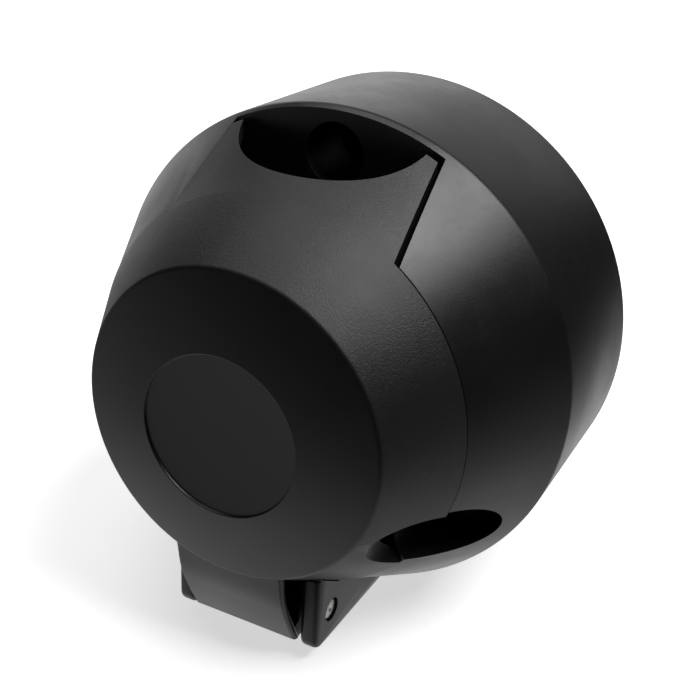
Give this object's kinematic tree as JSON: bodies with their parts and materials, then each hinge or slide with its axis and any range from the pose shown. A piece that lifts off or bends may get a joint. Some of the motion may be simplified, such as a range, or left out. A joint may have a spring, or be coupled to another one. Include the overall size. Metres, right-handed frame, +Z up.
{
  "type": "trailer wiring socket",
  "caption": "Round black plastic trailer wiring socket with a sprung lid hinged at the bottom, screw recesses and a rear cable inlet.",
  "frame": {"origin": "centre of the rear face, where the socket seats on its mounting plate", "axes": "+Z up, +Y out of the rear along the socket's axis, lid facing -Y, hinge at the bottom (-Z)"},
  "size_m": [0.0766, 0.0575, 0.0766],
  "materials": {
    "housing_plastic": "satin moulded black nylon",
    "lid_plastic": "fine spark-grain black nylon",
    "carrier_plastic": "moulded black plastic",
    "black_rubber": "matte rubber",
    "contact_brass": "turned brass",
    "pin_steel": "zinc-plated steel",
    "screw_steel": "zinc-plated steel",
    "spring_steel": "drawn spring wire"
  },
  "bodies": {
    "socket_body": {"housing": "housing_plastic", "hinge_pin": "pin_steel", "lid_spring": "spring_steel", "contact_carrier": "carrier_plastic", "carrier_screw_left": "screw_steel", "carrier_screw_right": "screw_steel", "rear_gasket": "black_rubber", "cable_grommet": "black_rubber", "contact_sleeve_01": "contact_brass", "contact_sleeve_02": "contact_brass", "contact_sleeve_03": "contact_brass", "contact_sleeve_04": "contact_brass", "contact_sleeve_05": "contact_brass", "contact_sleeve_06": "contact_brass", "contact_sleeve_07": "contact_brass", "contact_sleeve_08": "contact_brass", "contact_sleeve_09": "contact_brass", "contact_sleeve_10": "contact_brass", "contact_sleeve_11": "contact_brass", "contact_sleeve_12": "contact_brass", "contact_sleeve_13": "contact_brass", "terminal_screw_01": "screw_steel", "terminal_screw_02": "screw_steel", "terminal_screw_03": "screw_steel", "terminal_screw_04": "screw_steel", "terminal_screw_05": "screw_steel", "terminal_screw_06": "screw_steel", "terminal_screw_07": "screw_steel", "terminal_screw_08": "screw_steel", "terminal_screw_09": "screw_steel", "terminal_screw_10": "screw_steel", "terminal_screw_11": "screw_steel", "terminal_screw_12": "screw_steel", "terminal_screw_13": "screw_steel"},
    "lid_body": {"lid": "lid_plastic", "lid_seal": "black_rubber"}
  },
  "joints": [
    {"name": "lid_hinge", "type": "hinge", "parent": "socket_body", "child": "lid_body", "pos_m": [0, -0.0452, -0.0313], "axis": [1, 0, 0], "range_deg": [0, 105], "stiffness_Nm_per_rad": 0.06, "springref_deg": -68.75, "deforming": ["lid_spring"]}
  ]
}
